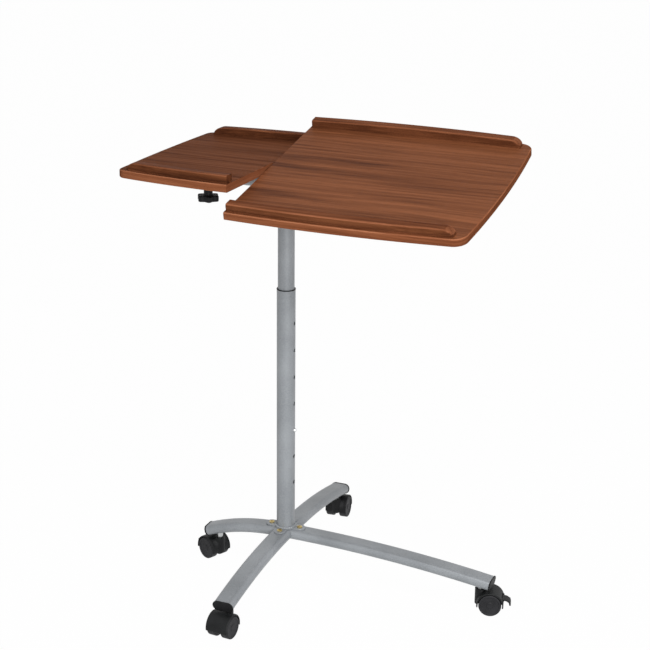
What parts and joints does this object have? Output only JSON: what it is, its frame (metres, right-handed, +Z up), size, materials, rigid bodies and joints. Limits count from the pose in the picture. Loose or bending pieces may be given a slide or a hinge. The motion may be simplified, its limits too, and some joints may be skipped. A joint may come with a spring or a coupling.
{
  "type": "computer cart",
  "caption": "Rolling computer cart: a telescoping column on a cross-shaped caster base carries a tilting wood-grain worktop and a side shelf, both with raised ledges.",
  "frame": {"origin": "on the floor, under the middle of the cart's outline from left to right and from front to rear; the column's axis is 103.5 mm to the left of it", "axes": "+X towards the worktop's side and the long leg, +Y to the rear, where the worktop is raised, +Z up"},
  "size_m": [0.729, 0.6296, 0.8922],
  "materials": {
    "silver_paint": "silver-grey powder coat, satin",
    "bright_steel": "zinc-plated steel",
    "polished_steel": "polished plating",
    "yellow_zinc": "yellow zinc plating",
    "black_plastic": "moulded, fine grain",
    "caster_plastic": "moulded nylon, satin",
    "wheel_plastic": "moulded nylon, satin",
    "wood_panel": "red-brown walnut grain under satin lacquer",
    "wood_ledge": "red-brown walnut grain under satin lacquer"
  },
  "bodies": {
    "base": {"lower_tube": "silver_paint", "column_bush": "black_plastic", "hub_plate": "silver_paint", "hub_screws": "yellow_zinc", "hub_nuts": "bright_steel", "leg_left": "silver_paint", "leg_right": "silver_paint", "leg_front": "silver_paint", "leg_rear": "silver_paint", "leg_cap_left": "black_plastic", "leg_cap_right": "black_plastic", "leg_cap_front": "black_plastic", "leg_cap_rear": "black_plastic", "caster_stems": "bright_steel"},
    "column": {"upper_tube": "silver_paint", "guide_plug": "black_plastic", "button_spring": "bright_steel", "cross_tube": "silver_paint", "cross_tube_caps": "black_plastic"},
    "button": {"snap_button": "polished_steel"},
    "worktop": {"main_top": "wood_panel", "main_front_ledge": "wood_ledge", "main_rear_ledge": "wood_ledge", "main_ledge_screws": "bright_steel", "near_bracket": "silver_paint", "tilt_bracket": "silver_paint", "main_bracket_screws": "bright_steel"},
    "worktop_knob": {"tilt_knob": "black_plastic", "tilt_knob_stud": "bright_steel"},
    "shelf": {"side_shelf": "wood_panel", "shelf_front_ledge": "wood_ledge", "shelf_rear_ledge": "wood_ledge", "shelf_ledge_screws": "bright_steel", "shelf_bracket": "silver_paint", "shelf_bracket_screws": "bright_steel"},
    "shelf_clamp_knob": {"shelf_knob": "black_plastic", "shelf_knob_stud": "bright_steel"},
    "left_caster": {"left_hood": "caster_plastic", "left_axle": "bright_steel"},
    "left_roller_a": {"left_wheel_a": "wheel_plastic"},
    "left_roller_b": {"left_wheel_b": "wheel_plastic"},
    "left_brake": {"left_brake_lever": "caster_plastic"},
    "right_caster": {"right_hood": "caster_plastic", "right_axle": "bright_steel"},
    "right_roller_a": {"right_wheel_a": "wheel_plastic"},
    "right_roller_b": {"right_wheel_b": "wheel_plastic"},
    "right_brake": {"right_brake_lever": "caster_plastic"},
    "front_caster": {"front_hood": "caster_plastic", "front_axle": "bright_steel"},
    "front_roller_a": {"front_wheel_a": "wheel_plastic"},
    "front_roller_b": {"front_wheel_b": "wheel_plastic"},
    "rear_caster": {"rear_hood": "caster_plastic", "rear_axle": "bright_steel"},
    "rear_roller_a": {"rear_wheel_a": "wheel_plastic"},
    "rear_roller_b": {"rear_wheel_b": "wheel_plastic"}
  },
  "joints": [
    {"name": "column_height", "type": "slide", "parent": "base", "child": "column", "axis": [0, 0, 1], "range_m": [-0.11, 0.22]},
    {"name": "button_press", "type": "slide", "parent": "column", "child": "button", "axis": [-1, 0, 0], "range_m": [0, 0.0056], "stiffness_N_per_m": 800, "springref_m": -0.004, "deforming": ["button_spring"]},
    {"name": "worktop_tilt", "type": "hinge", "parent": "column", "child": "worktop", "pos_m": [-0.1035, 0, 0.8071], "axis": [1, 0, 0], "range_deg": [-10.7, 19.3]},
    {"name": "worktop_knob_turn", "type": "hinge", "parent": "worktop", "child": "worktop_knob", "pos_m": [0.0965, 0.00901, 0.75944], "axis": [0, -0.1857, 0.9826], "range_deg": [0, 360]},
    {"name": "shelf_tilt", "type": "hinge", "parent": "column", "child": "shelf", "pos_m": [-0.1035, 0, 0.8071], "axis": [1, 0, 0], "range_deg": [-15, 15]},
    {"name": "shelf_knob_turn", "type": "hinge", "parent": "shelf", "child": "shelf_clamp_knob", "pos_m": [-0.2655, -0.00093, 0.75861], "axis": [0, 0.0192, 0.9998], "range_deg": [0, 360]},
    {"name": "left_swivel", "type": "hinge", "parent": "base", "child": "left_caster", "pos_m": [-0.2495, 0, 0.0485], "axis": [0, 0, 1], "continuous": true},
    {"name": "left_wheel_a_roll", "type": "hinge", "parent": "left_caster", "child": "left_roller_a", "pos_m": [-0.26763, 0.00845, 0.022], "axis": [-0.4226, -0.9063, 0], "continuous": true},
    {"name": "left_wheel_b_roll", "type": "hinge", "parent": "left_caster", "child": "left_roller_b", "pos_m": [-0.26763, 0.00845, 0.022], "axis": [-0.4226, -0.9063, 0], "continuous": true},
    {"name": "left_brake_press", "type": "hinge", "parent": "left_caster", "child": "left_brake", "pos_m": [-0.28909, 0.01846, 0.03062], "axis": [-0.4226, -0.9063, 0], "range_deg": [0, 16]},
    {"name": "right_swivel", "type": "hinge", "parent": "base", "child": "right_caster", "pos_m": [0.3045, 0, 0.0485], "axis": [0, 0, 1], "continuous": true},
    {"name": "right_wheel_a_roll", "type": "hinge", "parent": "right_caster", "child": "right_roller_a", "pos_m": [0.32382, 0.00518, 0.022], "axis": [-0.2588, 0.9659, 0], "continuous": true},
    {"name": "right_wheel_b_roll", "type": "hinge", "parent": "right_caster", "child": "right_roller_b", "pos_m": [0.32382, 0.00518, 0.022], "axis": [-0.2588, 0.9659, 0], "continuous": true},
    {"name": "right_brake_press", "type": "hinge", "parent": "right_caster", "child": "right_brake", "pos_m": [0.34669, 0.01131, 0.03062], "axis": [-0.2588, 0.9659, 0], "range_deg": [0, 16]},
    {"name": "front_swivel", "type": "hinge", "parent": "base", "child": "front_caster", "pos_m": [-0.1035, -0.266, 0.0485], "axis": [0, 0, 1], "continuous": true},
    {"name": "front_wheel_a_roll", "type": "hinge", "parent": "front_caster", "child": "front_roller_a", "pos_m": [-0.10524, -0.28592, 0.022], "axis": [0.9962, -0.0872, 0], "continuous": true},
    {"name": "front_wheel_b_roll", "type": "hinge", "parent": "front_caster", "child": "front_roller_b", "pos_m": [-0.10524, -0.28592, 0.022], "axis": [0.9962, -0.0872, 0], "continuous": true},
    {"name": "rear_swivel", "type": "hinge", "parent": "base", "child": "rear_caster", "pos_m": [-0.1035, 0.268, 0.0485], "axis": [0, 0, 1], "continuous": true},
    {"name": "rear_wheel_a_roll", "type": "hinge", "parent": "rear_caster", "child": "rear_roller_a", "pos_m": [-0.10524, 0.28792, 0.022], "axis": [-0.9962, -0.0872, 0], "continuous": true},
    {"name": "rear_wheel_b_roll", "type": "hinge", "parent": "rear_caster", "child": "rear_roller_b", "pos_m": [-0.10524, 0.28792, 0.022], "axis": [-0.9962, -0.0872, 0], "continuous": true}
  ]
}
